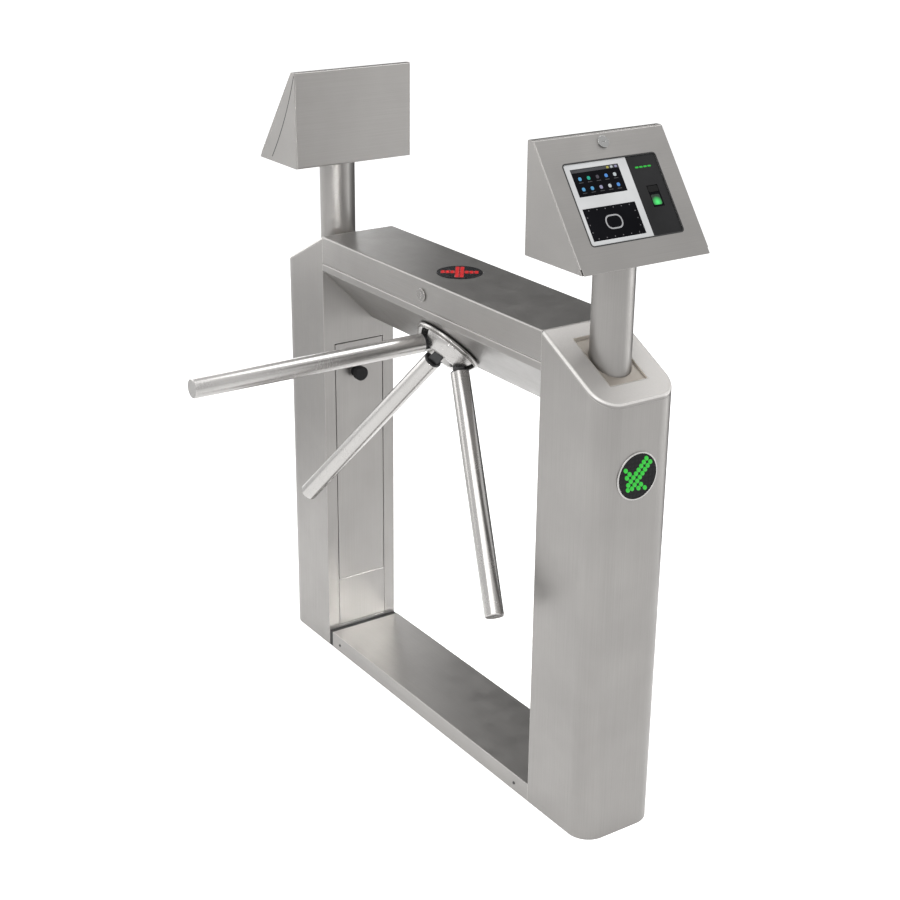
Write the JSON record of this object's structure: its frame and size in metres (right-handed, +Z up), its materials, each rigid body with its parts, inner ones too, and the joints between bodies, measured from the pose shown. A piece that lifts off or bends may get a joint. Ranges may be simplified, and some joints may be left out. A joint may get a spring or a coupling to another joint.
{
  "type": "tripod turnstile",
  "caption": "Bridge-type tripod turnstile: stainless cabinet on posts, tilted hub with drop arms, and hinged access readers on poles at both ends.",
  "frame": {"origin": "on the floor, at the centre of the footprint midway between the two posts", "axes": "+Z up, +X along the bridge towards the near post, -Y towards the side that the barrier arms reach out to"},
  "size_m": [1.136, 0.7295, 1.325],
  "materials": {
    "satin_steel": "satin stainless sheet",
    "polished_steel": "bright brushed stainless tube and turned parts",
    "machined_steel": "machined steel",
    "black_steel": "black oxide, satin",
    "frame_paint": "grey paint over a casting",
    "galvanised": "galvanised plate",
    "seal_rubber": "black rubber",
    "dark_lens": "smoked lens",
    "terminal_shell": "silver-white plastic",
    "terminal_glass": "black window",
    "black_plastic": "black plastic",
    "circuit_board": "green circuit board",
    "motor_case": "dark enamel",
    "coil_wrap": "wound coil under tape",
    "lock_chrome": "bright plated",
    "supply_aluminium": "bare perforated sheet"
  },
  "bodies": {
    "cabinet": {"base_plate": "galvanised", "plinth_cover": "satin_steel", "plinth_seal": "seal_rubber", "near_post_shell": "satin_steel", "far_post_shell": "satin_steel", "near_post_cap": "satin_steel", "far_post_cap": "satin_steel", "bridge_housing": "satin_steel", "lower_panels": "satin_steel", "near_pole": "polished_steel", "far_pole": "polished_steel", "near_reader_box": "satin_steel", "far_reader_box": "satin_steel", "end_indicator_lenses": "dark_lens", "end_indicator_bezels": "polished_steel", "end_led_boards": "circuit_board", "hinge_pins": "machined_steel", "mechanism_frame": "frame_paint", "shaft_bearings": "machined_steel", "drive_motor": "motor_case", "lock_magnets": "coil_wrap", "position_sensor": "black_plastic", "control_board": "circuit_board", "power_supply": "supply_aluminium"},
    "rotor": {"hub_body": "polished_steel", "rotor_flange": "polished_steel", "main_shaft": "machined_steel", "shaft_nut": "machined_steel", "lock_disc": "machined_steel", "main_gear": "machined_steel", "sensor_disc": "black_steel", "arm_pivot_pins": "machined_steel", "arm_2_tube": "polished_steel", "arm_2_knuckle": "black_steel", "arm_3_tube": "polished_steel", "arm_3_knuckle": "black_steel"},
    "arm_1": {"arm_1_tube": "polished_steel", "arm_1_knuckle": "black_steel"},
    "pinion": {"motor_pinion": "machined_steel"},
    "upper_pawl": {"upper_pawl": "machined_steel"},
    "lower_pawl": {"lower_pawl": "machined_steel"},
    "lid": {"top_lid": "satin_steel", "lid_indicator_lens": "dark_lens", "lid_led_board": "circuit_board"},
    "lid_lock": {"lid_lock": "lock_chrome"},
    "near_door": {"near_door": "satin_steel"},
    "far_door": {"far_door": "satin_steel"},
    "near_door_knob": {"near_door_knob": "black_plastic"},
    "far_door_knob": {"far_door_knob": "black_plastic"},
    "near_reader_front": {"near_reader_panel": "satin_steel", "near_terminal_case": "terminal_shell", "near_terminal_windows": "terminal_glass", "near_sensor_strip": "black_plastic"},
    "far_reader_front": {"far_reader_panel": "satin_steel", "far_terminal_case": "terminal_shell", "far_terminal_windows": "terminal_glass", "far_sensor_strip": "black_plastic"},
    "near_reader_lock": {"near_reader_lock": "lock_chrome"},
    "far_reader_lock": {"far_reader_lock": "lock_chrome"}
  },
  "joints": [
    {"name": "rotor_spin", "type": "hinge", "parent": "cabinet", "child": "rotor", "pos_m": [0, -0.022, 0.838], "axis": [0, 0.7071, 0.7071], "continuous": true},
    {"name": "arm_1_drop", "type": "hinge", "parent": "rotor", "child": "arm_1", "pos_m": [0, -0.06658, 0.85002], "axis": [1, 0, 0], "range_deg": [0, 90]},
    {"name": "pinion_spin", "type": "hinge", "parent": "cabinet", "child": "pinion", "pos_m": [0.072, 0.03103, 0.89103], "axis": [0, 0.7071, 0.7071], "continuous": true},
    {"name": "upper_pawl_turn", "type": "hinge", "parent": "cabinet", "child": "upper_pawl", "pos_m": [-0.01841, -0.01812, 0.91897], "axis": [0, -0.7071, -0.7071], "range_deg": [0, 9], "stiffness_Nm_per_rad": 0.5, "springref_deg": -20.05},
    {"name": "lower_pawl_turn", "type": "hinge", "parent": "cabinet", "child": "lower_pawl", "pos_m": [-0.01841, 0.05897, 0.84188], "axis": [0, 0.7071, 0.7071], "range_deg": [0, 9], "stiffness_Nm_per_rad": 0.5, "springref_deg": -20.05},
    {"name": "lid_hinge", "type": "hinge", "parent": "cabinet", "child": "lid", "pos_m": [0, 0.093, 0.921], "axis": [-1, 0, 0], "range_deg": [0, 95]},
    {"name": "lid_lock_turn", "type": "hinge", "parent": "lid", "child": "lid_lock", "pos_m": [0, -0.089, 0.948], "axis": [0, -1, 0], "range_deg": [0, 90]},
    {"name": "near_door_hinge", "type": "hinge", "parent": "cabinet", "child": "near_door", "pos_m": [0.393, 0.052, 0.45], "axis": [0, 0, -1], "range_deg": [0, 90]},
    {"name": "far_door_hinge", "type": "hinge", "parent": "cabinet", "child": "far_door", "pos_m": [-0.393, 0.052, 0.45], "axis": [0, 0, 1], "range_deg": [0, 90]},
    {"name": "near_door_knob_turn", "type": "hinge", "parent": "near_door", "child": "near_door_knob", "pos_m": [0.388, -0.009, 0.664], "axis": [-1, 0, 0], "range_deg": [0, 90]},
    {"name": "far_door_knob_turn", "type": "hinge", "parent": "far_door", "child": "far_door_knob", "pos_m": [-0.388, -0.009, 0.664], "axis": [-1, 0, 0], "range_deg": [0, 90]},
    {"name": "near_reader_hinge", "type": "hinge", "parent": "cabinet", "child": "near_reader_front", "pos_m": [0.55063, 0, 1.13128], "axis": [0, 1, 0], "range_deg": [0, 90]},
    {"name": "far_reader_hinge", "type": "hinge", "parent": "cabinet", "child": "far_reader_front", "pos_m": [-0.55063, 0, 1.13128], "axis": [0, -1, 0], "range_deg": [0, 90]},
    {"name": "near_reader_lock_turn", "type": "hinge", "parent": "near_reader_front", "child": "near_reader_lock", "pos_m": [0.42439, 0, 1.31092], "axis": [0.8049, 0, 0.5935], "range_deg": [0, 90]},
    {"name": "far_reader_lock_turn", "type": "hinge", "parent": "far_reader_front", "child": "far_reader_lock", "pos_m": [-0.42439, 0, 1.31092], "axis": [-0.8049, 0, 0.5935], "range_deg": [0, 90]}
  ],
  "couplings": [
    {"joint": "pinion_spin", "follows": "rotor_spin", "ratio": -3}
  ]
}
